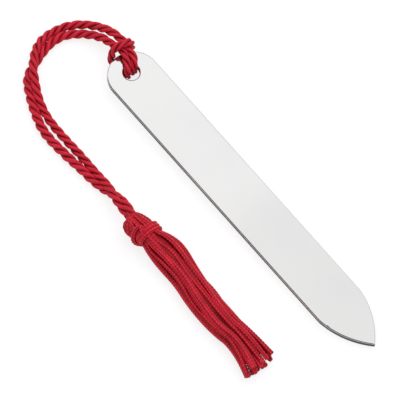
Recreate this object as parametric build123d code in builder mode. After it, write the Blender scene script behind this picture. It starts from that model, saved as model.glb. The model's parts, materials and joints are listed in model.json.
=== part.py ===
from build123d import *
import os
from math import acos, asin, atan2, cos, degrees, hypot, pi, radians, sin, sqrt, tan

# Bookmark: a flat polished blade, a twisted cord hitched through its hole, and a yarn tassel.
# Millimetres. The part lies on the plane z = 0, blade along Y with its tip at -Y, +Z up.
# The origin is under the middle of the blade's box.

# Blade
blade_length = 126.3
blade_width = 16.7
blade_thickness = 2.2
tip_length = 17.0
tip_bulge = 1.55
tip_nose_radius = 0.4
shoulder_radius = 12.0
edge_round = 0.55
hole_inset = 7.25

# Cord
cord_diameter = 2.3
cord_gap = 0.12
hole_clearance = 0.09
hole_strand_out = 0.4
rim_gap = 0.2

# Hitch: the cord's loop goes down the hole, out under the blade and up round its end
hitch_angle = 20.0
hitch_swivel = 40.0
bight_right_angle = 24.5
bight_left_angle = 31.0
bight_top_lean = 0.4
bight_top_right_angle = 20.5
bight_top_left_angle = 26.0
fold_radius = 1.6
rim_bend_radius = 1.5
bight_bend_radius = 1.8
leg_angle = 8.0
leg_turn_out = 9.6
leg_lead = 2.8
free_lead = 3.5

# Tassel: its place from the hole's centre, and its sizes along its own axis from the crown
crown_x = -31.4
crown_y = -37.0
tassel_length = 66.5
strand_diameter = 1.3
strand_gap = 0.09
ring_gap = 0.09
knot_wrap = 0.13
crown_lead = 2.8
crown_start = 1.0
head_middle = 4.6
neck_start = 7.8
neck_end = 11.6
bulge_at = 19.0
bulge_width = 10.9
bulge_drift = 0.4
bulge_lift = 0.5
waist_at = 36.0
waist_width = 9.7
waist_drift = 0.2
flare_at = 53.0
flare_width = 10.2
flare_drift = 0.5
end_width = 12.4
end_drift = -0.4
end_step = 0.2
strand_rows = (3, 4, 5, 5, 4, 3)
stub_gap = 0.15

# Neck binding
binding_diameter = 0.85
binding_gap = 0.43
binding_turns = 2.5
binding_clearance = 0.08

# Derived sizes
cord_radius = cord_diameter / 2
cord_layer = cord_diameter + cord_gap
strand_side = cord_layer / 2
hole_radius = hypot(strand_side, hole_strand_out) + cord_radius + hole_clearance
round_along = blade_length - blade_width / 2
hole_along = blade_length - hole_inset
over_blade = blade_thickness / 2 + cord_gap + cord_radius
over_legs = over_blade + cord_layer
tilt = asin(cord_layer / hole_along)

# The blade leans on the cord under its round end, with its tip on the plane z = 0.
tip_y = -(blade_length * cos(tilt) - blade_thickness * sin(tilt)) / 2
blade_plane = Plane((0, tip_y, 0), x_dir=(1, 0, 0), z_dir=(0, -sin(tilt), cos(tilt)))
hole_centre = blade_plane.from_local_coords((0, hole_along, blade_thickness / 2))

os.makedirs("parts", exist_ok=True)


def save(solid, label):
    """Label a finished piece and write it to its own file."""
    solid.label = label
    export_step(solid, f"parts/{label}.step")


def turn_at(before, corner, after):
    """The angle in radians by which a route turns at a corner."""
    into, out = (corner - before).normalized(), (after - corner).normalized()
    return acos(max(-1.0, min(1.0, into.dot(out))))


def easy_radii(points):
    """For each corner the largest arc that its two runs leave room for."""
    radii = []
    for before, corner, after in zip(points, points[1:], points[2:]):
        shorter = min((corner - before).length, (after - corner).length)
        radii.append(0.45 * shorter / tan(turn_at(before, corner, after) / 2))
    return radii


def tube(points, diameter, radii):
    """A round tube along straight runs joined by tangent arcs."""
    with BuildPart() as swept:
        with BuildLine() as route:
            FilletPolyline(*points, radius=radii)
        wire = route.wire()
        with BuildSketch(Plane(wire @ 0, z_dir=wire % 0)):
            Circle(diameter / 2)
        sweep(path=wire)
    return swept, wire


def report_tube(label, solid, wire, diameter, radii):
    """Print a tube's length, its tightest bend and its volume against section times length."""
    share = solid.part.volume / (pi * diameter**2 / 4 * wire.length)
    listed = ", ".join(f"{radius:.1f}" for radius in radii)
    print(f"{label}: length {wire.length:.1f}, volume share {share:.4f}, radii {listed}")


# Blade
with BuildPart() as blade:
    with BuildSketch(blade_plane) as outline:
        with BuildLine():
            shoulder = (blade_width / 2, tip_length)
            round_start = (blade_width / 2, round_along)
            SagittaArc((0, 0), shoulder, -tip_bulge)
            Line(shoulder, round_start)
            RadiusArc(round_start, (0, blade_length), -blade_width / 2)
            mirror(about=Plane.YZ)
        make_face()
        fillet(outline.vertices().sort_by(Axis.Y)[1:3], shoulder_radius)
        with Locations((0, hole_along)):
            Circle(hole_radius, mode=Mode.SUBTRACT)
    extrude(amount=blade_thickness)
    normal = Axis(blade_plane.origin, blade_plane.z_dir)
    fillet(blade.edges().filter_by(normal).sort_by(Axis.Y)[0], tip_nose_radius)
    faces = blade.faces().sort_by(normal)
    fillet(faces[0].edges() + faces[-1].edges(), edge_round)
save(blade.part, "blade")


# Hitch: a lark's head, one unbroken tube from leg to leg, that clears the round end as it swivels
turn = radians(hitch_angle)
lean = radians(leg_angle)
rim_shift = hole_along - round_along
far_heading = turn + radians(bight_right_angle + hitch_swivel)
far_rim = sqrt((blade_width / 2) ** 2 - (rim_shift * sin(far_heading)) ** 2) - rim_shift * cos(far_heading)
rim_radius = far_rim + rim_gap + cord_radius
bight_radius = rim_radius + bight_top_lean


def by_hole(x, y, height):
    """A point given across, along and above the blade's middle plane, from the hole's centre."""
    return hole_centre + blade_plane.x_dir * x + blade_plane.y_dir * y + blade_plane.z_dir * height


def round_hole(angle, radius, height, side=0):
    """A point at an angle from the hitch's own direction, moved to its right by side strand spaces."""
    heading = turn + radians(angle)
    x, y = radius * sin(heading), radius * cos(heading)
    return by_hole(x + side * strand_side * cos(turn), y - side * strand_side * sin(turn), height)


def leg_turn(side):
    """The point where a leg, 1 for the right and -1 for the left, turns from the hitch's direction."""
    middle = round_hole(0, leg_turn_out, over_blade)
    offset, half = side * strand_side / cos((turn + lean) / 2), (turn - lean) / 2
    return middle + blade_plane.x_dir * (offset * cos(half)) - blade_plane.y_dir * (offset * sin(half))


def leg_face(side):
    """The middle of the face where a leg goes on as the free cord."""
    across = blade_plane.x_dir * cos(lean) + blade_plane.y_dir * sin(lean)
    middle = round_hole(0, leg_turn_out, over_blade) + leg_heading * leg_lead
    return middle + across * (side * strand_side)


leg_heading = blade_plane.y_dir * cos(lean) - blade_plane.x_dir * sin(lean)
hitch_points = [
    leg_face(1),
    leg_turn(1),
    round_hole(0, hole_strand_out, over_blade, 1),
    round_hole(0, hole_strand_out, -over_blade, 1),
    round_hole(bight_right_angle, rim_radius, -over_blade),
    round_hole(bight_top_right_angle, bight_radius, over_legs),
    round_hole(-bight_top_left_angle, bight_radius, over_legs),
    round_hole(-bight_left_angle, rim_radius, -over_blade),
    round_hole(0, hole_strand_out, -over_blade, -1),
    round_hole(0, hole_strand_out, over_blade, -1),
    leg_turn(-1),
    leg_face(-1),
]
leg_radius = min(easy_radii(hitch_points)[0], easy_radii(hitch_points)[-1])
folds = [leg_radius, fold_radius, fold_radius, rim_bend_radius, bight_bend_radius]
hitch_radii = folds + folds[::-1]
cord_hitch, hitch_wire = tube(hitch_points, cord_diameter, hitch_radii)
report_tube("cord_hitch", cord_hitch, hitch_wire, cord_diameter, hitch_radii)
save(cord_hitch.part, "cord_hitch")


# Tassel frame: the crown is where the cord goes in, and the axis runs towards -Y
binding_radius = binding_diameter / 2
strand_radius = strand_diameter / 2
strand_pitch = strand_diameter + strand_gap
places = [(row, column) for row, count in enumerate(strand_rows) for column in range(count)]


def row_step(pitch):
    """The height between two rows of strands that lie in each other's hollows."""
    return sqrt(max(strand_pitch**2 - (pitch / 2) ** 2, (strand_pitch / 2) ** 2))


def lattice(place, pitch):
    """A strand's place across and above the tassel's axis, for a pitch within its row."""
    row, column = place
    stagger = 1 / 4 if row < len(strand_rows) / 2 else -1 / 4
    across = (column - (strand_rows[row] - 1) / 2 + stagger) * pitch
    return across, ((len(strand_rows) - 1) / 2 - row) * row_step(pitch)


neck_radius = max(hypot(*lattice(place, strand_pitch)) for place in places) + strand_radius
winding_radius = neck_radius + binding_clearance + binding_radius
neck_height = winding_radius + binding_radius
crown = Vector(hole_centre.X + crown_x, hole_centre.Y + crown_y, neck_height)


def in_tassel(along, across, height):
    """A point of the tassel, along its axis from the crown, across it and above the floor."""
    return Vector(crown.X + across, crown.Y - along, height)


# Free cord legs: plan points from the hole's centre, with the lift above the floor in cord layers
right_leg_route = [
    (1.9, 19.8, 1.42),
    (-1.2, 23.6, 0.65),
    (-5.4, 26.2, 0.1),
    (-11.0, 27.3, 0.15),
    (-16.4, 26.0, 0.85),
    (-20.0, 23.4, 1.2),
    (-23.2, 19.0, 1.2),
    (-25.6, 14.4, 0.75),
    (-27.7, 9.2, 0.1),
    (-29.1, 3.6, 0.0),
    (-29.7, -2.4, 0.0),
    (-29.6, -8.6, 0.0),
    (-29.2, -14.8, 0.0),
    (-28.9, -20.6, 0.2),
    (-29.2, -25.8, 0.9),
    (-30.5, -30.4, 1.8),
]
left_leg_route = [
    (-0.6, 19.0, 1.52),
    (-3.8, 21.9, 0.7),
    (-7.6, 23.8, 0.1),
    (-12.0, 24.4, 0.0),
    (-16.6, 23.6, 0.0),
    (-21.0, 21.8, 0.0),
    (-25.3, 19.2, 0.0),
    (-28.5, 15.2, 0.0),
    (-30.7, 9.9, 0.0),
    (-32.3, 4.1, 0.0),
    (-33.1, -2.2, 0.0),
    (-33.0, -8.6, 0.0),
    (-32.6, -14.8, 0.0),
    (-32.1, -20.8, 0.0),
    (-31.6, -26.2, 0.1),
    (-31.3, -30.8, 0.7),
]


def free_leg(label, side, route):
    """A leg of cord from its face on the hitch to the crown, with a round end on the crown's axis."""
    start = leg_face(side)
    height = crown.Z + side * cord_layer / 2
    points = [start, start + leg_heading * free_lead]
    for x, y, layers in route:
        points.append(Vector(hole_centre.X + x, hole_centre.Y + y, cord_radius + layers * cord_layer))
    points += [in_tassel(-crown_lead, 0, height), in_tassel(0, 0, height)]
    radii = easy_radii(points)
    leg, wire = tube(points, cord_diameter, radii)
    report_tube(label, leg, wire, cord_diameter, radii)
    with leg:
        with Locations(points[-1]):
            Sphere(cord_radius)
    save(leg.part, label)
    return wire


right_wire = free_leg("cord_leg_right", 1, right_leg_route)
left_wire = free_leg("cord_leg_left", -1, left_leg_route)
samples = [i / 400 for i in range(401)]
right_line, left_line = [right_wire @ u for u in samples], [left_wire @ u for u in samples]
leg_space = min((a - b).length for a in right_line for b in left_line)
print(f"least gap between the two legs {leg_space - cord_diameter:.2f}")


# Knot: the two cord ends, tied in the head
knot_start = cord_radius + stub_gap
knot_radius = cord_layer / 2 + cord_radius + knot_wrap
with BuildPart() as cord_knot:
    for side in (1, -1):
        stub_face = in_tassel(knot_start, 0, crown.Z + side * cord_layer / 2)
        with BuildSketch(Plane(stub_face, z_dir=(0, -1, 0))):
            Circle(cord_radius)
        extrude(amount=head_middle - knot_start)
    with Locations(in_tassel(head_middle, 0, crown.Z)):
        Sphere(knot_radius)
save(cord_knot.part, "cord_knot")


# Neck binding: one winding of thread, each quarter turn two tangent arcs
winding_pitch = binding_diameter + binding_gap
winding_start = (neck_start + neck_end - binding_turns * winding_pitch) / 2


def on_winding(quarter):
    """A point of the winding after a number of quarter turns, and its direction."""
    angle = quarter * pi / 2
    along = winding_start + quarter * winding_pitch / 4
    point = in_tassel(along, winding_radius * cos(angle), neck_height + winding_radius * sin(angle))
    direction = Vector(-winding_radius * sin(angle), -winding_pitch / (2 * pi), winding_radius * cos(angle))
    return point, direction.normalized()


def add_quarter(quarter):
    """Two arcs, tangent to each other and to the winding at both ends of a quarter turn."""
    (start, leaving), (end, arriving) = on_winding(quarter), on_winding(quarter + 1)
    across = end - start
    bend, reach = 1 - leaving.dot(arriving), across.dot(leaving + arriving)
    lead = (sqrt(reach**2 + 2 * bend * across.dot(across)) - reach) / (2 * bend)
    first, second = start + leaving * lead, end - arriving * lead
    TangentArc(start, (first + second) / 2, tangent=leaving)
    TangentArc((first + second) / 2, end, tangent=second - first)


quarter_turns = round(4 * binding_turns)
with BuildPart() as neck_binding:
    with BuildLine() as winding:
        first_point, first_direction = on_winding(0)
        last_point, last_direction = on_winding(quarter_turns)
        Line(first_point - first_direction * binding_diameter, first_point)
        for quarter in range(quarter_turns):
            add_quarter(quarter)
        Line(last_point, last_point + last_direction * binding_diameter)
    thread = winding.wire()
    with BuildSketch(Plane(thread @ 0, z_dir=thread % 0)):
        Circle(binding_radius)
    sweep(path=thread)
save(neck_binding.part, "neck_binding")
turns_line = [thread @ (i / 600) for i in range(601)]
half_turn = round(600 * pi * winding_radius / thread.length)
thread_space = min(
    (turns_line[i] - turns_line[j]).length for i in range(601) for j in range(i + half_turn, 601)
)
print(f"neck_binding: length {thread.length:.1f}, least gap to itself {thread_space - binding_diameter:.2f}")


# Tassel strands: rows of yarn that lie in each other's hollows, gathered at the neck and fanned below
last_row = len(strand_rows) - 1
rim_places = [
    (row, column)
    for row, column in places
    if row in (0, last_row) or column in (0, strand_rows[row] - 1)
]
rim_places.sort(key=lambda place: atan2(*reversed(lattice(place, strand_pitch))))
first_across, first_up = lattice(rim_places[0], strand_pitch)
ring_turn = atan2(first_up, first_across)
ring_round_strands = (strand_pitch + ring_gap) * len(rim_places) / (2 * pi)
ring_round_knot = knot_radius + cord_gap + strand_radius
ring_radius = max(ring_round_strands, ring_round_knot)


def ring_point(place, along):
    """A point of an outer strand in the head, where these strands stand evenly round the knot."""
    angle = ring_turn + 2 * pi * rim_places.index(place) / len(rim_places)
    return in_tassel(along, ring_radius * cos(angle), neck_height + ring_radius * sin(angle))


def skirt_point(place, along, width, drift, lift=0):
    """A strand's point below the neck, on the floor or lifted above it."""
    pitch = (width - strand_diameter) / (max(strand_rows) - 1 / 2)
    across, up = lattice(place, pitch)
    middle = strand_radius + last_row / 2 * row_step(pitch)
    return in_tassel(along, across + drift, middle + up + lift)


def strand_points(place, length):
    """The route of one strand from the head to its end."""
    points = []
    if place in rim_places:
        points += [ring_point(place, crown_start), ring_point(place, head_middle)]
    across, up = lattice(place, strand_pitch)
    points += [in_tassel(along, across, neck_height + up) for along in (neck_start, neck_end)]
    points.append(skirt_point(place, bulge_at, bulge_width, bulge_drift, bulge_lift))
    points.append(skirt_point(place, waist_at, waist_width, waist_drift))
    flare = skirt_point(place, flare_at, flare_width, flare_drift)
    full_end = skirt_point(place, tassel_length, end_width, end_drift)
    end = flare + (full_end - flare) * ((length - flare_at) / (tassel_length - flare_at))
    return points + [flare, end]


shares = []
for number, place in enumerate(places, start=1):
    shorter = number * 5 % 7
    route_points = strand_points(place, tassel_length - shorter * end_step)
    strand_radii = easy_radii(route_points)
    strand, strand_wire = tube(route_points, strand_diameter, strand_radii)
    shares.append(strand.part.volume / (pi * strand_radius**2 * strand_wire.length))
    save(strand.part, f"tassel_strand_{number:02d}")
print(f"tassel strands: {len(places)}, volume shares {min(shares):.4f} to {max(shares):.4f}")
print(f"hole radius {hole_radius:.3f}, tilt {degrees(tilt):.3f} degrees, neck height {neck_height:.3f}")
leg_axis_point = (leg_face(1) + leg_face(-1)) / 2
print(f"hole centre {hole_centre}, blade normal {blade_plane.z_dir}")
print(f"leg axis at {leg_axis_point} along {leg_heading}, crown {crown}")
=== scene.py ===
"""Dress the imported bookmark: a polished blade, a twisted cord and a bound yarn tassel on a white table."""

from __future__ import annotations

import json
import logging
import math
from dataclasses import dataclass, field
from enum import Enum
from typing import Any, Sequence

import bpy
import numpy as np
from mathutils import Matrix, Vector

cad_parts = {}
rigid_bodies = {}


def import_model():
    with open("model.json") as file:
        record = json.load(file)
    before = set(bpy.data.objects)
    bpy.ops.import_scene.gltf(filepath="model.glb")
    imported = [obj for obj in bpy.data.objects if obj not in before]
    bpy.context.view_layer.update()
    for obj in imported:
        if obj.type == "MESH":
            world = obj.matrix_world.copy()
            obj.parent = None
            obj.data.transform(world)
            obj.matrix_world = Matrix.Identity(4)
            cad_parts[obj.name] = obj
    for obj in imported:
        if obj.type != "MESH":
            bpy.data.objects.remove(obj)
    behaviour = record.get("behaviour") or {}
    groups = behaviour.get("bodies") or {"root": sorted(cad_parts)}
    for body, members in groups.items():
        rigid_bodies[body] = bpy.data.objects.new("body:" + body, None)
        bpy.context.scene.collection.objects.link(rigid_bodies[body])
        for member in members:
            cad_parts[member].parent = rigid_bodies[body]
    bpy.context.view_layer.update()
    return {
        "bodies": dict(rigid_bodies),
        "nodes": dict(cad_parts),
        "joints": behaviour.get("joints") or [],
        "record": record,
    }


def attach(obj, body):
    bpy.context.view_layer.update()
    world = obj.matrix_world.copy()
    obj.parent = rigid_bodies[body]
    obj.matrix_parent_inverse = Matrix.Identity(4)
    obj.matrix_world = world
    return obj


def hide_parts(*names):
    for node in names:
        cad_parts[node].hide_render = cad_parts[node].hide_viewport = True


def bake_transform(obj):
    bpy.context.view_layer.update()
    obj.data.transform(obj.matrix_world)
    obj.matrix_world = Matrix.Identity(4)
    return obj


Array = np.ndarray
Pair = tuple[float, float]
Point = tuple[float, float, float]

LOG = logging.getLogger("bookmark")
MM = 0.001
LAY_MAP = "Lay"
CAVITY = "cavity"


class Slot(Enum):
    """The record's material slots."""

    METAL = "polished_metal"
    CORD = "red_cord"
    YARN = "red_yarn"
    BINDING = "red_binding"


def unit(vectors: Array) -> Array:
    """Scale each row of vectors to length one."""
    return vectors / np.linalg.norm(vectors, axis=-1, keepdims=True)


def inner(first: Array, second: Array) -> Array:
    """The dot product of two arrays of vectors, row by row, kept as a column."""
    return np.sum(first * second, axis=-1, keepdims=True)


def ease(values: Array, low: float, high: float) -> Array:
    """Rise smoothly from 0 at low to 1 at high: 3t squared minus 2t cubed."""
    share = np.clip((values - low) / (high - low), 0.0, 1.0)
    return share * share * (3.0 - 2.0 * share)


def running_length(points: Array) -> Array:
    """The length along a line, from its first point to each of its points."""
    steps = np.linalg.norm(np.diff(points, axis=0), axis=1)
    return np.concatenate([[0.0], np.cumsum(steps)])


def spline_points(controls: Array, resolution: int = 24) -> Array:
    """Read a smooth line off a NURBS spline.

    Args:
        controls: the route's points, one row each, in metres.
        resolution: points on the line for each control point.

    Returns:
        The points of the line, in order.
    """
    curve = bpy.data.curves.new("route", "CURVE")
    curve.dimensions = "3D"
    spline = curve.splines.new("NURBS")
    spline.points.add(len(controls) - 1)
    spline.points.foreach_set("co", np.column_stack([controls, np.ones(len(controls))]).ravel())
    spline.order_u = 3
    spline.use_endpoint_u = True
    spline.resolution_u = resolution
    holder = bpy.data.objects.new("route", curve)
    mesh = bpy.data.meshes.new_from_object(holder)
    line = np.empty(3 * len(mesh.vertices))
    mesh.vertices.foreach_get("co", line)
    bpy.data.objects.remove(holder)
    bpy.data.curves.remove(curve)
    bpy.data.meshes.remove(mesh)
    return line.reshape(-1, 3)


@dataclass
class Path:
    """A line in space with a frame that turns with it but doesn't twist about it."""

    points: Array
    along: Array = field(init=False)
    tangents: Array = field(init=False)
    normals: Array = field(init=False)
    binormals: Array = field(init=False)

    def __post_init__(self) -> None:
        """Work out the running length and the frame.

        Each point first gets any normal square to its tangent. The angle by which that normal turns from
        one point to the next is measured, and the running sum of those angles is taken out again.
        """
        self.along = running_length(self.points)
        self.tangents = unit(np.gradient(self.points, axis=0))
        axes = np.eye(3)[np.argmin(np.abs(self.tangents), axis=1)]
        first = unit(np.cross(self.tangents, axes))
        second = np.cross(self.tangents, first)
        carried = first[:-1] - self.tangents[1:] * inner(first[:-1], self.tangents[1:])
        turns = np.arctan2(inner(carried, second[1:]), inner(carried, first[1:]))[:, 0]
        roll = np.concatenate([[0.0], np.cumsum(turns)])[:, None]
        self.normals = np.cos(roll) * first + np.sin(roll) * second
        self.binormals = np.cross(self.tangents, self.normals)

    @classmethod
    def through(cls, controls: Array, spacing: float) -> Path:
        """Follow a spline with points at an even spacing.

        Args:
            controls: the spline's control points, in metres.
            spacing: the distance between two points of the path.

        Returns:
            The path.
        """
        line = spline_points(controls)
        along = running_length(line)
        even = np.linspace(0.0, along[-1], max(4, round(along[-1] / spacing)))
        return cls(np.column_stack([np.interp(even, along, line[:, axis]) for axis in range(3)]))

    @property
    def length(self) -> float:
        """The length of the line."""
        return float(self.along[-1])

    def offset(self, radius: Array, angle: Array) -> Array:
        """Points beside the line: out by radius, at an angle from the normal towards the binormal."""
        across = self.normals * np.cos(angle)[:, None] + self.binormals * np.sin(angle)[:, None]
        return self.points + across * np.reshape(radius, (-1, 1))

    def skin(self, radii: Array) -> Array:
        """Carry a ring along the line.

        Args:
            radii: the ring's radius for each point of the line and each side of the ring.

        Returns:
            A grid of points, one row for each ring.
        """
        angles = np.arange(radii.shape[1]) * 2.0 * np.pi / radii.shape[1]
        ring = (
            self.normals[:, None] * np.cos(angles)[None, :, None]
            + self.binormals[:, None] * np.sin(angles)[None, :, None]
        )
        return self.points[:, None] + ring * radii[:, :, None]


class TubeMesh:
    """Gathers closed tubes and writes them into one mesh."""

    def __init__(self) -> None:
        """Start with no tubes."""
        self.vertices: list[Array] = []
        self.cavities: list[Array] = []
        self.corners: list[Array] = []
        self.maps: list[Array] = []
        self.sides: list[Array] = []
        self.count = 0

    def add(self, grid: Array, along: Array, cavity: Array) -> None:
        """Add one tube, closed at both ends by a fan.

        Args:
            grid: points, one row for each ring.
            along: the running length at each ring, in metres.
            cavity: the mask of painted shade at each point, from 0 to 1, such as how deep it lies in a
                crease.
        """
        rings, sides = grid.shape[:2]
        index = self.count + np.arange(rings * sides).reshape(rings, sides)
        beside = np.roll(index, -1, axis=1)
        quads = np.stack([index[:-1], beside[:-1], beside[1:], index[1:]], axis=-1)
        lay = np.stack(np.broadcast_arrays(along[:, None] / MM, np.arange(sides + 1) / sides), axis=-1)
        left, right = lay[:, :-1], lay[:, 1:]
        middle = (left + right) / 2
        quad_map = np.stack([left[:-1], right[:-1], right[1:], left[1:]], axis=2)
        first_map = np.stack([middle[0], right[0], left[0]], axis=1)
        last_map = np.stack([middle[-1], left[-1], right[-1]], axis=1)
        poles = self.count + rings * sides + np.arange(2)
        first = np.stack([np.full(sides, poles[0]), beside[0], index[0]], axis=-1)
        last = np.stack([np.full(sides, poles[1]), index[-1], beside[-1]], axis=-1)
        self.vertices += [grid.reshape(-1, 3), grid[0].mean(0)[None], grid[-1].mean(0)[None]]
        self.cavities += [cavity.ravel(), cavity[0, :1], cavity[-1, :1]]
        self.corners += [quads.ravel(), first.ravel(), last.ravel()]
        self.maps += [corners.reshape(-1, 2) for corners in (quad_map, first_map, last_map)]
        self.sides += [np.full(quads.shape[0] * sides, 4), np.full(2 * sides, 3)]
        self.count += rings * sides + 2

    def build(self, name: str, material: bpy.types.Material) -> bpy.types.Object:
        """Make the mesh and its object.

        Args:
            name: the piece's name.
            material: the finish of the whole piece.

        Returns:
            The object, in the scene, at the origin.
        """
        corners, sides = np.concatenate(self.corners), np.concatenate(self.sides)
        mesh = bpy.data.meshes.new(name)
        mesh.vertices.add(self.count)
        mesh.vertices.foreach_set("co", np.concatenate(self.vertices).astype(np.float32).ravel())
        mesh.loops.add(len(corners))
        mesh.loops.foreach_set("vertex_index", corners.astype(np.int32))
        mesh.polygons.add(len(sides))
        starts = np.concatenate([[0], np.cumsum(sides)[:-1]])
        mesh.polygons.foreach_set("loop_start", starts.astype(np.int32))
        layer = mesh.uv_layers.new(name=LAY_MAP)
        layer.uv.foreach_set("vector", np.concatenate(self.maps).astype(np.float32).ravel())
        attribute = mesh.attributes.new(CAVITY, "FLOAT", "POINT")
        attribute.data.foreach_set("value", np.concatenate(self.cavities).astype(np.float32))
        mesh.update(calc_edges=True)
        mesh.validate()
        mesh.shade_smooth()
        mesh.materials.append(material)
        piece = bpy.data.objects.new(name, mesh)
        bpy.context.scene.collection.objects.link(piece)
        return piece


class Value:
    """A shader socket that takes part in Python arithmetic."""

    def __init__(self, graph: Graph, socket: bpy.types.NodeSocket) -> None:
        """Wrap an output socket of a graph's node."""
        self.graph = graph
        self.socket = socket

    def math(self, operation: str, first: Any, second: Any) -> Value:
        """Add a Math node for an operation on two values."""
        node = self.graph.node("ShaderNodeMath", {"operation": operation}, {0: first, 1: second})
        return Value(self.graph, node.outputs[0])

    def __add__(self, other: Any) -> Value:
        """This value plus another."""
        return self.math("ADD", self, other)

    def __sub__(self, other: Any) -> Value:
        """This value minus another."""
        return self.math("SUBTRACT", self, other)

    def __rsub__(self, other: Any) -> Value:
        """A number minus this value."""
        return self.math("SUBTRACT", other, self)

    def __mul__(self, other: Any) -> Value:
        """This value times another."""
        return self.math("MULTIPLY", self, other)

    __radd__ = __add__
    __rmul__ = __mul__


class Graph:
    """The nodes of a material or of the world."""

    def __init__(self, owner: bpy.types.Material | bpy.types.World) -> None:
        """Clear the owner's nodes."""
        owner.use_nodes = True
        self.tree = owner.node_tree
        self.tree.nodes.clear()

    def node(self, kind: str, settings: dict[str, Any], sockets: dict[Any, Any]) -> bpy.types.Node:
        """Make one node.

        Args:
            kind: the node's type.
            settings: its own settings, set first; stops are a colour ramp's (place, colour) pairs.
            sockets: a value, wrapped socket or socket for each input, by name or number.

        Returns:
            The node.
        """
        node = self.tree.nodes.new(kind)
        for name, setting in settings.items():
            if name == "stops":
                self._set_stops(node.color_ramp, setting)
            else:
                setattr(node, name, setting)
        for key, given in sockets.items():
            source = given.socket if isinstance(given, Value) else given
            if isinstance(source, bpy.types.NodeSocket):
                self.tree.links.new(source, node.inputs[key])
            else:
                node.inputs[key].default_value = source
        return node

    def value(self, kind: str, settings: dict[str, Any], sockets: dict[Any, Any], out: Any = 0) -> Value:
        """Make one node, as node() does, and wrap its output out, a name or a number."""
        return Value(self, self.node(kind, settings, sockets).outputs[out])

    def mix(self, share: Any, first: Any, second: Any) -> Value:
        """Mix two colours: the first at share 0, the second at share 1."""
        settings = {"data_type": "RGBA", "clamp_factor": True}
        return self.value("ShaderNodeMix", settings, {0: share, 6: first, 7: second}, 2)

    def ramp(self, share: Value, low: float, high: float) -> Value:
        """Rise smoothly from 0 where share is low to 1 where it is high."""
        settings = {"interpolation_type": "SMOOTHSTEP"}
        return self.value("ShaderNodeMapRange", settings, {0: share, 1: low, 2: high})

    def noise(self, vector: Any, scale: float, detail: float) -> Value:
        """Read a noise texture at a vector."""
        return self.value("ShaderNodeTexNoise", {}, {"Vector": vector, "Scale": scale, "Detail": detail})

    def principled(self, sockets: dict[str, Any]) -> None:
        """End a material in a Principled shader with these inputs."""
        shader = self.node("ShaderNodeBsdfPrincipled", {}, sockets)
        self.node("ShaderNodeOutputMaterial", {}, {0: shader.outputs[0]})

    def rays(self) -> list[Value]:
        """Whether a ray comes from the camera, off a glossy surface or through a clear one."""
        light = self.node("ShaderNodeLightPath", {}, {})
        names = ("Is Camera Ray", "Is Glossy Ray", "Is Transmission Ray")
        return [Value(self, light.outputs[name]) for name in names]

    def _set_stops(self, ramp: bpy.types.ColorRamp, stops: Sequence[tuple[float, Sequence[float]]]) -> None:
        """Give a colour ramp its stops."""
        while len(ramp.elements) < len(stops):
            ramp.elements.new(1.0)
        for element, (place, colour) in zip(ramp.elements, stops):
            element.position = place
            element.color = colour


@dataclass(frozen=True)
class SatinThread:
    """A lustrous dyed thread: fine filaments along the tube, painted shade in its creases and painted crest
    highlights.
    """

    name: str
    base: Point = (0.50, 0.004, 0.016)
    # painted colours: the crease shade darkens the creases, the glint lights the crests
    crease_shade: Point = (0.165, 0.002, 0.006)
    glint: Point = (0.75, 0.022, 0.060)
    least_glint: float = 0.35
    glint_range: Pair = (0.40, 0.70)
    crest_range: Pair = (0.0, 0.45)
    crease_range: Pair = (0.25, 1.0)
    crease_share: float = 0.85
    patch_scale: float = 260.0
    patch_range: Pair = (0.35, 0.75)
    patch_share: float = 0.22
    roughness: float = 0.46
    roughness_spread: float = 0.18
    specular: float = 0.24
    sheen: float = 0.03
    sheen_roughness: float = 0.35
    sheen_tint: Point = (1.0, 0.45, 0.50)
    filaments_along: float = 0.55
    filaments_round: float = 34.0
    filament_slant: float = 0.10
    bump: float = 0.035 * MM
    bump_strength: float = 0.6

    def material(self) -> bpy.types.Material:
        """Make the thread's material.

        Returns:
            The material. It reads the piece's lay map, in millimetres along and turns round, and its cavity,
            the mask of its painted shade and painted highlights.
        """
        made = bpy.data.materials.new(self.name)
        graph = Graph(made)
        lay = graph.node("ShaderNodeUVMap", {"uv_map": LAY_MAP}, {})
        place = graph.node("ShaderNodeSeparateXYZ", {}, {0: lay.outputs[0]})
        along, turn = Value(graph, place.outputs[0]), Value(graph, place.outputs[1])
        across = (turn + along * self.filament_slant) * self.filaments_round
        vector = graph.value("ShaderNodeCombineXYZ", {}, {0: along * self.filaments_along, 1: across})
        filament = graph.noise(vector, 1.0, 3.0)
        position = graph.node("ShaderNodeTexCoord", {}, {}).outputs["Object"]
        patch = graph.noise(position, self.patch_scale, 2.0)
        cavity = graph.value("ShaderNodeAttribute", {"attribute_name": CAVITY}, {}, "Fac")
        # painted highlight: the crests take the glint colour, more where the filaments are bright
        lustre = self.least_glint + (1.0 - self.least_glint) * graph.ramp(filament, *self.glint_range)
        crest = (1.0 - graph.ramp(cavity, *self.crest_range)) * lustre
        deep = (*self.crease_shade, 1.0)
        body = graph.mix(crest, (*self.base, 1.0), (*self.glint, 1.0))
        toned = graph.mix(graph.ramp(patch, *self.patch_range) * self.patch_share, body, deep)
        # painted shade: the colour falls to the crease shade where the cavity mask is deep
        colour = graph.mix(graph.ramp(cavity, *self.crease_range) * self.crease_share, toned, deep)
        raised = {"Strength": self.bump_strength, "Distance": self.bump, "Height": filament}
        graph.principled(
            {
                "Base Color": colour,
                "Roughness": self.roughness + self.roughness_spread * filament,
                "Normal": graph.value("ShaderNodeBump", {}, raised),
                "Specular IOR Level": self.specular,
                "Sheen Weight": self.sheen,
                "Sheen Roughness": self.sheen_roughness,
                "Sheen Tint": (*self.sheen_tint, 1.0),
            }
        )
        return made


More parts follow.
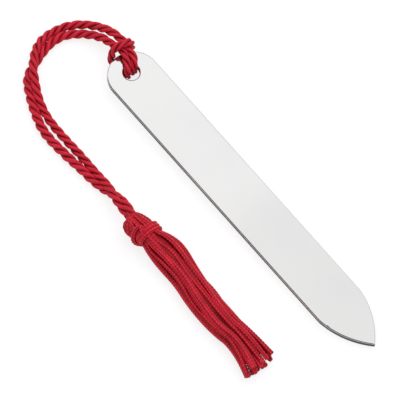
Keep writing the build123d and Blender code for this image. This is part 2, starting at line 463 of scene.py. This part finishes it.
@dataclass(frozen=True)
class PolishedPlate:
    """A mirror-polished plate: faint lengthwise polishing lines, and duller cut walls with a painted dark
    reflection.
    """

    name: str
    base: Point = (0.90, 0.90, 0.895)
    haze: Point = (0.83, 0.83, 0.83)
    haze_share: float = 0.5
    # painted dark reflection on the cut walls, which are also rougher
    dark_wall_reflection: Point = (0.06, 0.06, 0.06)
    wall_range: Pair = (0.04, 0.25)
    line_scale: Point = (5200.0, 60.0, 900.0)
    line_range: Pair = (0.5, 0.8)
    smudge_scale: float = 45.0
    smudge_range: Pair = (0.35, 0.8)
    roughness: float = 0.045
    line_spread: float = 0.05
    smudge_spread: float = 0.02
    wall_roughness: float = 0.22

    def material(self) -> bpy.types.Material:
        """Make the plate's material, with its polishing lines along Y."""
        made = bpy.data.materials.new(self.name)
        graph = Graph(made)
        position = graph.node("ShaderNodeTexCoord", {}, {}).outputs["Object"]
        drawn = graph.value("ShaderNodeMapping", {}, {"Vector": position, "Scale": self.line_scale})
        lines = graph.noise(drawn, 1.0, 4.0)
        smudge = graph.noise(position, self.smudge_scale, 3.0)
        facing = graph.node("ShaderNodeTexCoord", {}, {}).outputs["Normal"]
        rise = graph.value("ShaderNodeSeparateXYZ", {}, {0: facing}, 2)
        upright = 1.0 - graph.ramp(rise * rise, *self.wall_range)
        hazy = graph.ramp(smudge, *self.smudge_range) * self.haze_share
        face = graph.mix(hazy, (*self.base, 1.0), (*self.haze, 1.0))
        marks = graph.ramp(lines, *self.line_range) * self.line_spread + smudge * self.smudge_spread
        gloss = self.roughness + marks
        # painted reflection: the upright walls take a dark colour for the shadowed floor they mirror, and are
        # rougher
        graph.principled(
            {
                "Base Color": graph.mix(upright, face, (*self.dark_wall_reflection, 1.0)),
                "Metallic": 1.0,
                "Roughness": gloss + upright * self.wall_roughness,
            }
        )
        return made


@dataclass
class Places:
    """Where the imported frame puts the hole, the hitch's knot and the tassel's crown."""

    hole: Array
    normal: Array
    knot: Array
    heading: Array
    crown: Array

    @classmethod
    def of(cls, frame: dict[str, Any]) -> Places:
        """Read the places off the frame's joints.


        Returns:
            The places, in metres.
        """
        joints = {joint["name"]: joint for joint in frame["joints"]}
        swivel, flip, swing = (joints[name] for name in ("hitch_swivel", "cord_flip", "tassel_swing"))
        return cls(
            hole=np.array(swivel["pos_m"]),
            normal=np.array(swivel["axis"]),
            knot=np.array(flip["pos_m"]),
            heading=np.array(flip["axis"]),
            crown=np.array(swing["pos_m"]),
        )

    def on_blade(self, points: Sequence[Point], turn: float) -> Array:
        """Place points by the blade's hole.

        Args:
            points: to the right of a heading, along it and above the blade's middle, in millimetres.
            turn: the heading's angle from the blade's length, to the right, in degrees.

        Returns:
            The points in the frame, in metres.
        """
        right = np.array([1.0, 0.0, 0.0])
        ahead = np.cross(self.normal, right)
        angle = math.radians(turn)
        axes = np.stack(
            [
                right * math.cos(angle) - ahead * math.sin(angle),
                right * math.sin(angle) + ahead * math.cos(angle),
                self.normal,
            ]
        )
        return self.hole + np.array(points) * MM @ axes

    def on_floor(self, points: Sequence[Point]) -> Array:
        """Place points given across and along from the hole's centre and above the floor, in millimetres."""
        return np.array(points) * MM + np.array([self.hole[0], self.hole[1], 0.0])

    def in_tassel(self, along: Array, across: Array | float, up: Array | float) -> Array:
        """Place points given along the tassel from its crown, across it and above it, in millimetres."""
        along, across, up = np.broadcast_arrays(along, across, up)
        return self.crown + np.stack([across, -along, up], axis=-1) * MM


@dataclass
class TwistedCord:
    """A cord of three twisted plies, hitched through the blade and led by two legs into the tassel.

    Routes are in millimetres. The hitch's rows are right of its heading from the hole, along it and above
    the blade's middle. The legs' rows are across and along from the hole and above the floor. The ends'
    rows are along the tassel from its crown, across it and above its axis. The crown's bend gives two
    distances along it, which are not used further. Reaches are distances from the hole.
    """

    places: Places
    finish: bpy.types.Material
    diameter: float = 2.3 * MM
    outer_radius: float = 1.42 * MM
    squeeze: float = 0.12
    squeeze_reach: Pair = (9.0 * MM, 15.0 * MM)
    slack: float = 0.10
    slack_from: Pair = (0.62, 0.74)
    slack_until: Pair = (0.86, 0.95)
    plies: int = 3
    pitch: float = 10.0 * MM
    unevenness: float = 0.05
    swell_unevenness: float = 0.02
    wander_lengths: Pair = (23.0 * MM, 7.7 * MM)
    ply_phase: float = 2.1
    spacing: float = 0.26 * MM
    ply_sides: int = 26
    yarns: int = 7
    yarn_depth: float = 0.035
    yarn_lay: float = 3.6 * MM
    yarn_crease: float = 0.10
    crease_depths: Pair = (0.45, 0.95)
    # painted shade on the cord's side towards the blade, near the hole
    underside_shade_rise: Pair = (0.2, 0.8)
    underside_shade_reach: Pair = (11.5 * MM, 14.0 * MM)
    lead: float = 9.0 * MM
    twist_room: float = 6.5 * MM
    hitch_turn: float = 20.0
    hitch_route: tuple[Point, ...] = (
        (0.35, 11.4, 2.45),
        (1.15, 9.8, 2.60),
        (1.25, 7.4, 3.10),
        (1.85, 5.0, 3.55),
        (1.85, 3.0, 3.30),
        (1.55, 1.9, 2.75),
        (1.10, 1.25, 1.20),
        (1.00, 1.15, -1.20),
        (1.15, 1.4, -2.28),
        (1.75, 3.4, -2.28),
        (2.30, 5.8, -2.28),
        (2.60, 7.4, -2.28),
        (2.70, 8.05, -2.10),
        (2.78, 8.32, -0.80),
        (2.78, 8.32, 1.20),
        (2.75, 8.35, 3.20),
        (2.45, 8.4, 4.65),
        (1.70, 8.4, 5.40),
        (0.00, 8.25, 5.60),
        (-1.75, 8.05, 5.35),
        (-2.85, 7.9, 4.50),
        (-3.55, 7.70, 3.10),
        (-4.00, 7.45, 1.30),
        (-4.15, 7.40, -0.80),
        (-4.10, 7.10, -2.10),
        (-3.80, 6.4, -2.28),
        (-3.10, 4.7, -2.28),
        (-2.20, 2.8, -2.28),
        (-1.30, 1.0, -2.28),
        (-1.10, 0.30, -1.20),
        (-1.00, 0.40, 1.20),
        (-0.95, 0.75, 2.60),
        (-0.50, 2.8, 3.30),
        (-0.45, 5.0, 3.55),
        (-0.72, 7.4, 3.10),
        (-1.30, 9.2, 2.45),
        (-2.25, 10.4, 2.00),
    )
    right_route: tuple[Point, ...] = (
        (4.10, 11.90, 6.10),
        (3.60, 15.20, 5.50),
        (1.90, 20.00, 3.60),
        (-0.90, 24.00, 1.90),
        (-4.80, 26.70, 1.48),
        (-9.80, 27.70, 1.70),
        (-14.80, 27.20, 2.75),
        (-19.00, 24.70, 3.90),
        (-22.75, 20.90, 4.25),
        (-25.00, 16.80, 3.60),
        (-27.20, 12.75, 2.30),
        (-28.70, 8.20, 1.52),
        (-29.50, 3.40, 1.46),
        (-29.60, -2.40, 1.46),
        (-29.50, -8.60, 1.46),
        (-29.45, -14.80, 1.46),
        (-29.80, -20.60, 1.95),
        (-30.00, -26.00, 3.54),
        (-31.50, -30.50, 5.12),
        (-31.70, -34.20, 4.79),
    )
    left_route: tuple[Point, ...] = (
        (1.25, 11.20, 5.20),
        (0.85, 14.90, 4.10),
        (-0.80, 18.70, 2.70),
        (-3.50, 22.10, 1.70),
        (-7.20, 24.50, 1.62),
        (-11.80, 25.20, 1.61),
        (-16.60, 24.10, 1.61),
        (-21.00, 22.40, 1.61),
        (-25.80, 20.05, 1.61),
        (-28.50, 15.20, 1.61),
        (-31.00, 9.80, 1.61),
        (-33.05, 3.80, 1.61),
        (-33.40, -2.00, 1.61),
        (-32.95, -8.20, 1.61),
        (-32.35, -14.40, 1.61),
        (-32.00, -20.30, 1.61),
        (-31.10, -25.60, 1.60),
        (-29.85, -30.50, 3.28),
        (-30.25, -34.20, 5.21),
    )
    right_end: tuple[Point, ...] = ((0.0, -0.45, -1.04), (3.4, 0.0, -0.9))
    left_end: tuple[Point, ...] = ((0.0, 0.60, 1.04), (3.4, 0.0, 0.9))
    crown_bend: Pair = (-3.0, 3.4)

    def line(self) -> Path:
        """The cord's middle line, from the tassel up the right leg, round the hitch and down the left leg."""
        right_end = self.places.in_tassel(*np.array(self.right_end).T)
        left_end = self.places.in_tassel(*np.array(self.left_end).T)
        controls = [
            right_end[::-1],
            self.places.on_floor(self.right_route)[::-1],
            self.places.on_blade(self.hitch_route, self.hitch_turn),
            self.places.on_floor(self.left_route),
            left_end,
        ]
        return Path.through(np.concatenate(controls), self.spacing)

    def ply(self, line: Path, number: int) -> tuple[Path, Array, Array]:
        """One ply of the cord.

        The ply's middle winds left-handed about the line, at the radius where equal plies touch. Its own
        ring swells at each of its yarns, which lie the other way round, and its thickness wanders a little.
        By the hole the cord is squeezed thinner, and its side towards the blade takes painted shade, as do
        the creases between its plies and yarns. The left leg lies slack, and is fuller there.

        Args:
            line: the cord's middle line.
            number: which ply, from 0.

        Returns:
            The ply's path, its grid of points and the mask of its painted shade, from how deep each point
            lies towards the cord's middle and, by the hole, from its side towards the blade.
        """
        touch = 1.0 / math.sin(math.pi / self.plies)
        hole_gap = np.linalg.norm(line.points - self.places.hole, axis=1)[:, None]
        share = line.along[:, None] / line.length
        fuller = self.slack * ease(share, *self.slack_from) * (1.0 - ease(share, *self.slack_until))
        tight = self.squeeze * (1.0 - ease(hole_gap, *self.squeeze_reach))
        outer = self.outer_radius * (1.0 + fuller - tight)
        ply_radius = outer / (1.0 + touch)
        slow, quick = (line.along / length for length in self.wander_lengths)
        wander = np.sin(slow + self.ply_phase * number) + np.sin(quick + number)
        angle = -2.0 * np.pi * (line.along / self.pitch + number / self.plies) + self.unevenness * wander
        path = Path(line.offset(touch * ply_radius, angle))
        turn = np.arange(self.ply_sides) * 2.0 * np.pi / self.ply_sides
        lay = 2.0 * np.pi * path.along[:, None] / (self.yarns * self.yarn_lay)
        swell = np.cos(self.yarns * (turn[None, :] + lay))
        radii = ply_radius * (1.0 + self.yarn_depth * swell + self.swell_unevenness * wander[:, None])
        grid = path.skin(radii)
        # painted shade mask: deeper towards the cord's middle and between the yarns
        depth = np.linalg.norm(grid - line.points[:, None], axis=-1)
        inmost, outmost = self.crease_depths
        cavity = (outmost - depth / outer) / (outmost - inmost) + self.yarn_crease * (1.0 - swell)
        # painted shade on the side towards the blade, fading away from the hole
        below = (line.points[:, None] - grid) @ self.places.normal / outer
        underside_shade = ease(below, *self.underside_shade_rise) * (1.0 - ease(hole_gap, *self.underside_shade_reach))
        return path, grid, np.clip(np.maximum(cavity, underside_shade), 0.0, 1.0)

    def piece(self, name: str, plies: list[tuple[Path, Array, Array]], rings: slice) -> bpy.types.Object:
        """Make one piece of the cord from a stretch of its plies.

        Args:
            name: the piece's name.
            plies: the whole plies.
            rings: the stretch's rings.

        Returns:
            The piece.
        """
        mesh = TubeMesh()
        for path, grid, cavity in plies:
            mesh.add(grid[rings], path.along[rings], cavity[rings])
        piece = mesh.build(name, self.finish)
        return piece

    def build(self) -> None:
        """Make the hitch and the two legs."""
        line = self.line()
        plies = [self.ply(line, number) for number in range(self.plies)]
        faces = self.places.on_floor((self.right_route[0], self.left_route[0]))
        near = [int(np.argmin(np.linalg.norm(line.points - face, axis=1))) for face in faces]
        step = round(self.lead / self.spacing)
        right_cut, left_cut = near[0] - step, near[1] + step
        hitch = self.piece("hitch_knot", plies, slice(right_cut, left_cut + 1))
        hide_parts("cord_hitch")
        tuple(self.places.knot + self.places.heading * self.twist_room)
        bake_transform(hitch)
        LOG.info("hitch_knot: %.1f mm of cord", (line.along[left_cut] - line.along[right_cut]) / MM)
        stretches = {
            "cord_leg_right": slice(0, right_cut + 1),
            "cord_leg_left": slice(left_cut, len(line.points)),
        }
        bend = self.places.in_tassel(np.array(self.crown_bend), 0.0, 0.0)
        for name, rings in stretches.items():
            leg = self.piece(name.replace("cord_leg", "cord"), plies, rings)
            points = line.points[rings]
            if name.endswith("right"):
                points = points[::-1]
            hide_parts(name)
            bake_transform(leg)


@dataclass
class Chainette:
    """A yarn knitted as a narrow tube: columns of small V-shaped stitches."""

    radius: float = 0.74 * MM
    wales: int = 4
    stitch: float = 1.05 * MM
    slope: float = 0.70
    relief: float = 0.24
    level: float = 0.6
    trough: float = 0.42
    # mask level and fall of the painted shade between the stitches
    crease_shade: float = 0.80
    crease_fall: float = 0.95
    sides: int = 28
    spacing: float = 0.15 * MM

    def skin(self, path: Path, thickness: Array, phase: float) -> tuple[Array, Array]:
        """Carry the knitted ring along a path.

        Round the ring the wales are rounded columns. Along each one the stitches rise and fall as a cosine
        of the length, led back from the column's middle towards its sides, so that they stand as Vs.

        Args:
            path: the yarn's middle line.
            thickness: the yarn's thickness at each point of the path, as a share of its own.
            phase: where along a stitch the yarn starts, in stitches.

        Returns:
            The grid of points, and how deep each lies between the stitches, the mask of its painted shade.
        """
        column = np.arange(self.sides) * self.wales / self.sides
        beside = np.abs((column % 1.0) - 0.5) * 2.0
        stitches = path.along[:, None] / self.stitch + phase - self.slope * (1.0 - beside[None, :])
        knit = 0.5 + 0.5 * np.cos(2.0 * np.pi * stitches)
        height = (1.0 - beside[None, :] ** 2) * (self.trough + (1.0 - self.trough) * knit)
        radii = self.radius * thickness[:, None] * (1.0 + self.relief * (height - self.level))
        # the second value is the mask of painted shade between the stitches, none on their crests
        return path.skin(radii), np.clip(self.crease_shade - self.crease_fall * height, 0.0, 1.0)


@dataclass
class Tassel:
    """A bundle of knitted yarn strands, folded over the cord's knot, bound at the neck and fanned below.

    Lengths are in millimetres. The head's rows are the distance from the crown and the reach to the right,
    to the left and up. The skirt's are the distance, its width, its drift to the right and its lift.
    """

    places: Places
    yarn_finish: bpy.types.Material
    yarn: Chainette = field(default_factory=Chainette)
    rows: tuple[int, ...] = (3, 4, 5, 5, 4, 3)
    pitch: float = 1.39
    stagger: float = 0.25
    neck_pack: float = 0.90
    floor_gap: float = 0.80
    head_profile: tuple[tuple[float, float, float, float], ...] = (
        (4.0, 0.70, 1.00, 1.20),
        (2.3, 1.10, 2.30, 1.60),
        (2.7, 1.60, 3.60, 2.10),
        (3.9, 2.30, 4.50, 2.60),
        (5.4, 2.80, 4.55, 2.95),
        (6.9, 3.15, 4.20, 3.15),
    )
    head_swirl: float = -2.2
    swirl_side: float = 0.6
    head_wobble: float = 0.05
    neck: Pair = (8.3, 11.2)
    inner_lead: float = 2.0
    inner_pack: float = 0.8
    skirt: tuple[tuple[float, float, float, float], ...] = (
        (14.5, 9.8, 0.5, 0.9),
        (19.5, 10.7, 1.3, 0.7),
        (28.0, 9.5, 0.5, 0.2),
        (36.0, 10.7, -0.2, 0.0),
        (47.0, 11.4, -0.8, 0.0),
        (56.0, 9.5, 0.1, 0.0),
        (67.0, 13.0, -1.0, 0.0),
    )
    scatter: float = 0.44
    end_scatter: float = 1.7
    longest: float = 66.6
    trim_step: float = 0.2
    right_trim: float = 0.22
    shade: float = 0.34
    shade_range: Pair = (-0.3, 1.0)
    core_grid: tuple[int, int] = (60, 48)
    core_span: Pair = (0.6, 13.0)
    core_arch: Pair = (-0.6, 8.4)
    arch_share: float = 0.72
    core_least: float = 0.45
    core_swell: float = 2.6
    # even painted shade on the head's core
    core_shade: float = 0.5
    ribs: int = 12
    rib_depth: float = 0.10
    rib_slant: float = 0.15
    seed: int = 11

    def lattice(self, row: int, column: int, pitch: float) -> Pair:
        """A strand's place across and above the axis, in rows that lie in each other's hollows."""
        stagger = self.stagger if row < len(self.rows) / 2 else -self.stagger
        across = (column - (self.rows[row] - 1) / 2 + stagger) * pitch
        step = math.sqrt(max(self.pitch**2 - (pitch / 2) ** 2, (self.pitch / 2) ** 2))
        return across, ((len(self.rows) - 1) / 2 - row) * step

    def rim(self) -> list[tuple[int, int]]:
        """The places of the outer strands, in order round the tassel."""
        last = len(self.rows) - 1
        found = [
            (row, column)
            for row, count in enumerate(self.rows)
            for column in range(count)
            if row in (0, last) or column in (0, count - 1)
        ]
        return sorted(found, key=lambda place: math.atan2(*reversed(self.lattice(*place, self.pitch))))

    def route(self, place: tuple[int, int], length: float, rng: np.random.Generator) -> Array:
        """The control points of one strand, from the crown to its end.

        Args:
            place: the strand's row and column.
            length: the distance of its end from the crown, in millimetres.
            rng: the source of its unevenness.

        Returns:
            The points, in metres.
        """
        rim = self.rim()
        rows: list[Point] = []
        across, up = self.lattice(*place, self.pitch * self.neck_pack)
        if place in rim:
            first_across, first_up = self.lattice(*rim[0], self.pitch)
            angle = math.atan2(first_up, first_across) + 2 * math.pi * rim.index(place) / len(rim)
            wobble = rng.normal(0.0, self.head_wobble, len(self.head_profile))
            share = max(0.0, -math.cos(angle - self.swirl_side))
            lean = self.head_swirl * share * np.linspace(1.0, 0.0, len(self.head_profile))
            for (along, right, left, high), turn in zip(self.head_profile, angle + wobble + lean):
                wide = right + (left - right) * max(0.0, -math.cos(turn))
                rows.append((along, wide * math.cos(turn), high * math.sin(turn)))
        else:
            rows.append((self.neck[0] - self.inner_lead, across * self.inner_pack, up * self.inner_pack))
        rows += [(along, across, up) for along in self.neck]
        floor = self.floor_gap - self.places.crown[2] / MM
        for along, width, drift, lift in self.skirt:
            pitch = (width - 2 * self.yarn.radius / MM) / (max(self.rows) - 0.5)
            across, up = self.lattice(*place, pitch)
            lowest = self.lattice(len(self.rows) - 1, 0, pitch)[1]
            loose = self.end_scatter if along > length - 1.0 else 1.0
            shift = rng.normal(0.0, self.scatter * loose, 2)
            height = max(up + floor - lowest + lift + shift[1], floor)
            rows.append((min(along, length), across + drift + shift[0], height))
        return self.places.in_tassel(*np.array(rows).T)

    def thickness(self, path: Path, number: int) -> Array:
        """A strand's thickness at each point of its path, as a share of the yarn's own.

        It wavers by a twentieth as a sine of its length, is a tenth thinner up in the head, flares a little
        towards its end and is rounded off over the last half millimetre.
        """
        from_end = path.length - path.along
        waver = 0.05 * np.sin(path.along / (5.0 * MM) + number)
        flare = 0.08 * (1.0 - ease(from_end, 0.0, 1.2 * MM))
        rounded = 0.72 + 0.28 * np.sqrt(np.clip(from_end / (0.45 * MM), 0.0, 1.0))
        pressed = 1.0 - 0.10 * (1.0 - ease(path.along, 4.0 * MM, 12.0 * MM))
        return (1.0 + waver + flare) * rounded * pressed

    def strand(self, number: int, place: tuple[int, int], rng: np.random.Generator) -> None:
        """Make one strand. Those further to the right are cut shorter, and the ends are a little uneven.

        Args:
            number: the strand's number, from 1.
            place: its row and column.
            rng: the source of its unevenness.
        """
        right = max(0.0, self.lattice(*place, self.pitch)[0])
        length = self.longest - self.trim_step * (number * 5 % 7) - self.right_trim * right**2
        path = Path.through(self.route(place, length, rng), self.yarn.spacing)
        grid, cavity = self.yarn.skin(path, self.thickness(path, number), rng.uniform())
        shade = self.shade * rng.uniform(*self.shade_range)
        mesh = TubeMesh()
        mesh.add(grid, path.along, np.clip(cavity + shade, 0.0, 1.0))
        piece = mesh.build(f"strand_{number:02d}", self.yarn_finish)
        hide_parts(f"tassel_strand_{number:02d}")
        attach(piece, "tassel")
        2 * self.yarn.radius

    def core(self) -> None:
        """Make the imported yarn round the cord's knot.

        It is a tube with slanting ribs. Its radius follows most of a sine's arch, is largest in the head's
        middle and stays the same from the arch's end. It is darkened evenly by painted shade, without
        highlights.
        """
        rings, sides = self.core_grid
        start, end = self.core_arch
        along = np.linspace(*self.core_span, rings)
        centre = Path(self.places.in_tassel(along, 0.0, 0.0))
        arch = np.clip((along - start) / (end - start), 0.0, 1.0) * np.pi * self.arch_share
        radius = self.core_least + self.core_swell * np.sin(arch)
        turn = np.arange(sides) * 2.0 * np.pi / sides
        ribbed = self.rib_depth * np.cos(self.ribs * turn[None, :] + self.rib_slant * along[:, None])
        grid = centre.skin((radius[:, None] + ribbed) * MM)
        mesh = TubeMesh()
        # painted shade: the whole core takes one dark level, lying in among the strands
        mesh.add(grid, centre.along, np.full(grid.shape[:2], self.core_shade))
        piece = mesh.build("head_core", self.yarn_finish)
        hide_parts("cord_knot")
        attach(piece, "tassel")

    def build(self) -> None:
        """Make the strands and the core, and hang them on the tassel's body."""
        rng = np.random.default_rng(self.seed)
        places = [(row, column) for row, count in enumerate(self.rows) for column in range(count)]
        for number, place in enumerate(places, start=1):
            self.strand(number, place, rng)
        LOG.info("%d strands", len(places))
        self.core()


@dataclass
class NeckBinding:
    """Yarn wound nearly three times round the tassel's neck, with its end tied over the turns.

    Lengths are in millimetres. The tie's rows are the distance from the crown, the angle from the neck's
    right side in degrees and the radius.
    """

    places: Places
    finish: bpy.types.Material
    yarn: Chainette = field(default_factory=lambda: Chainette(radius=0.66 * MM, stitch=0.95 * MM))
    turns: float = 2.75
    turn_points: int = 16
    start: float = 8.2
    start_angle: float = -60.0
    step: float = 1.05
    radius: float = 3.85
    shift: float = 0.25
    slant: float = 0.35
    slant_angle: float = 20.0
    tuck: float = 0.5
    tuck_turn: float = 0.12
    tie: tuple[Point, ...] = (
        (10.4, 222.0, 3.9),
        (9.5, 210.0, 4.7),
        (8.7, 198.0, 5.0),
        (8.0, 178.0, 5.0),
        (7.5, 152.0, 4.9),
        (7.2, 128.0, 4.9),
        (7.5, 112.0, 5.0),
        (8.4, 110.0, 5.2),
        (9.3, 117.0, 5.0),
        (10.2, 126.0, 4.0),
    )

    def wound(self, along: Array, degrees: Array, radius: Array) -> Array:
        """Place points round the neck: along the tassel, at an angle from its right side, out by a radius."""
        angle = np.radians(degrees)
        return self.places.in_tassel(along, self.shift + radius * np.cos(angle), radius * np.sin(angle))

    def build(self) -> None:
        """Make the turns and the tied end as one piece, and hang it on the tassel's body."""
        turned = np.linspace(0.0, self.turns, round(self.turns * self.turn_points))
        degrees = self.start_angle + 360.0 * turned
        slanted = self.slant * np.cos(np.radians(degrees - self.slant_angle))
        along = self.start + self.step * turned + slanted
        from_end = np.minimum(turned, self.turns - turned)
        radius = self.radius - self.tuck * (1.0 - ease(from_end, 0.0, self.tuck_turn))
        mesh = TubeMesh()
        for controls in (self.wound(along, degrees, radius), self.wound(*np.array(self.tie).T)):
            path = Path.through(controls, self.yarn.spacing)
            grid, cavity = self.yarn.skin(path, np.ones(len(path.points)), 0.0)
            mesh.add(grid, path.along, cavity)
        piece = mesh.build("binding", self.finish)
        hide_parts("neck_binding")
        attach(piece, "tassel")
        LOG.info("binding: %.2f turns and a tied end", self.turns)


@dataclass
class Studio:
    """The white table, the light and the camera, in metres. Lens and sensor are in millimetres."""

    target: Point = (-0.00994, 0.01003, 0.0)
    azimuth: float = -39.17
    elevation: float = 64.2
    frame_width: float = 0.12393
    lens: float = 1200.0
    sensor: float = 36.0
    far_clip: float = 100.0
    floor_half: float = 3.0
    floor_colour: float = 0.90
    shown_colour: float = 0.25
    floor_lift: float = 0.79
    mirrored_lift: float = 0.12
    ambient: float = 0.66
    lamp_place: Point = (0.40, 0.20, 1.0)
    lamp_power: float = 6.4
    lamp_size: float = 1.3
    dark_side: Point = (-0.95, -0.10, 0.0)
    dark_edge: Pair = (0.32, 0.46)
    darkness: float = 0.84
    horizon: float = 0.45
    overhead: float = 0.96
    sky_rise: Pair = (0.2, 0.75)
    card_height: float = 0.36
    card_half: float = 0.16
    card_stops: tuple[Pair, ...] = (
        (0.30, 0.875),
        (0.40, 0.890),
        (0.47, 0.950),
        (0.62, 0.960),
        (0.70, 1.000),
    )

    def back(self) -> Vector:
        """The direction from the target to the camera."""
        azimuth, elevation = math.radians(self.azimuth), math.radians(self.elevation)
        level = math.cos(elevation)
        return Vector((math.sin(azimuth) * level, -math.cos(azimuth) * level, math.sin(elevation)))

    def camera(self) -> None:
        """Place the camera far off on its line of sight, with a long lens."""
        data = bpy.data.cameras.new("camera")
        data.sensor_width = self.sensor
        data.lens = self.lens
        data.clip_end = self.far_clip
        back = self.back()
        camera = bpy.data.objects.new("camera", data)
        camera.location = Vector(self.target) + back * (self.frame_width * self.lens / self.sensor)
        camera.rotation_euler = (-back).to_track_quat("-Z", "Y").to_euler()
        bpy.context.scene.collection.objects.link(camera)
        bpy.context.scene.camera = camera

    def sheet(self, name: str, centre: Vector, half: float, look: bpy.types.Material) -> bpy.types.Object:
        """Make a level square sheet, given its name, middle, half side and material."""
        mesh = bpy.data.meshes.new(name)
        corners = [(-half, -half, 0.0), (half, -half, 0.0), (half, half, 0.0), (-half, half, 0.0)]
        mesh.from_pydata([centre + Vector(corner) for corner in corners], [], [(0, 1, 2, 3)])
        mesh.materials.append(look)
        made = bpy.data.objects.new(name, mesh)
        bpy.context.scene.collection.objects.link(made)
        return made

    def floor(self) -> None:
        """Make the white table, which keeps the object's shadow and is lifted to white where it is seen."""
        made = bpy.data.materials.new("table_white")
        graph = Graph(made)
        seen, glossy, through = graph.rays()
        bounced, shown = ((tone, tone, tone, 1.0) for tone in (self.floor_colour, self.shown_colour))
        graph.principled(
            {
                "Base Color": graph.mix(seen, bounced, shown),
                "Roughness": 1.0,
                "Specular IOR Level": 0.0,
                "Emission Color": (1.0, 1.0, 1.0, 1.0),
                "Emission Strength": seen * self.floor_lift + (glossy + through) * self.mirrored_lift,
            }
        )
        table = self.sheet("table", Vector((0.0, 0.0, 0.0)), self.floor_half, made)

    def world(self) -> None:
        """Make the surroundings: white to the camera and in metal, where one side of the room is dark."""
        world = bpy.data.worlds.new("room")
        bpy.context.scene.world = world
        graph = Graph(world)
        camera, glossy, through = graph.rays()
        way = graph.node("ShaderNodeTexCoord", {}, {}).outputs["Generated"]
        side = Vector(self.dark_side).normalized()
        facing = graph.value("ShaderNodeVectorMath", {"operation": "DOT_PRODUCT"}, {0: way, 1: side}, "Value")
        height = graph.value("ShaderNodeSeparateXYZ", {}, {0: way}, 2)
        sky = self.horizon + (self.overhead - self.horizon) * graph.ramp(height, *self.sky_rise)
        bright = (1.0 - graph.ramp(facing, *self.dark_edge) * self.darkness) * sky
        strength = camera + through + glossy * bright + (1.0 - camera - through - glossy) * self.ambient
        shader = graph.node("ShaderNodeBackground", {}, {0: (1.0, 1.0, 1.0, 1.0), 1: strength})
        graph.node("ShaderNodeOutputWorld", {}, {0: shader.outputs[0]})

    def card(self) -> None:
        """Hang a paper card where the camera sees it in the blade. Only metal shows it.

        Its stops are the share of its side along Y and the tone there, whiter towards the blade's hole.
        """
        back, half = self.back(), self.card_half
        reach = self.card_height / back.z
        middle = Vector((-back.x * reach, -back.y * reach, self.card_height))
        made = bpy.data.materials.new("card_white")
        graph = Graph(made)
        position = graph.node("ShaderNodeTexCoord", {}, {}).outputs["Object"]
        place = graph.value("ShaderNodeSeparateXYZ", {}, {0: position}, 1)
        share = (place - (middle.y - half)) * (0.5 / half)
        stops = [(at, (tone, tone, tone, 1.0)) for at, tone in self.card_stops]
        tone = graph.value("ShaderNodeValToRGB", {"stops": stops}, {0: share})
        shader = graph.node("ShaderNodeEmission", {}, {0: tone, 1: 1.0})
        graph.node("ShaderNodeOutputMaterial", {}, {0: shader.outputs[0]})
        card = self.sheet("card", middle, half, made)
        card.visible_camera = False
        card.visible_diffuse = False
        card.visible_shadow = False

    def lamp(self) -> None:
        """Hang the one soft lamp, a square that faces the target and isn't seen in the metal."""
        data = bpy.data.lights.new("window", "AREA")
        data.size = self.lamp_size
        data.energy = self.lamp_power
        lamp = bpy.data.objects.new("window", data)
        lamp.location = self.lamp_place
        ahead = Vector(self.target) - Vector(self.lamp_place)
        lamp.rotation_euler = ahead.to_track_quat("-Z", "Y").to_euler()
        lamp.visible_glossy = False
        bpy.context.scene.collection.objects.link(lamp)

    def build(self) -> None:
        """Set up the whole studio."""
        bpy.context.scene.view_settings.view_transform = "Standard"
        self.camera()
        self.floor()
        self.world()
        self.card()
        self.lamp()


def dress_blade(frame: dict[str, Any]) -> None:
    """Give the blade its polish.
    """
    blade = frame["nodes"]["blade"]
    blade.data.materials.clear()
    blade.data.materials.append(PolishedPlate("polished_plate").material())
    LOG.info("blade: polished")


def main() -> None:
    """Build the dressed bookmark on its frame."""
    logging.basicConfig(level=logging.INFO, format="%(name)s: %(message)s")
    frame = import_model()
    places = Places.of(frame)
    cord_finish = SatinThread("cord_satin").material()
    # its crease colour is painted shade and its glint a painted highlight
    yarn_finish = SatinThread(
        "yarn_satin",
        base=(0.57, 0.004, 0.017),
        crease_shade=(0.070, 0.001, 0.002),
        glint=(0.95, 0.042, 0.098),
        filaments_along=1.6,
        filaments_round=16.0,
    ).material()
    Studio().build()
    dress_blade(frame)
    TwistedCord(places, cord_finish).build()
    Tassel(places, yarn_finish).build()
    NeckBinding(places, yarn_finish).build()


if __name__ == "__main__":
    main()
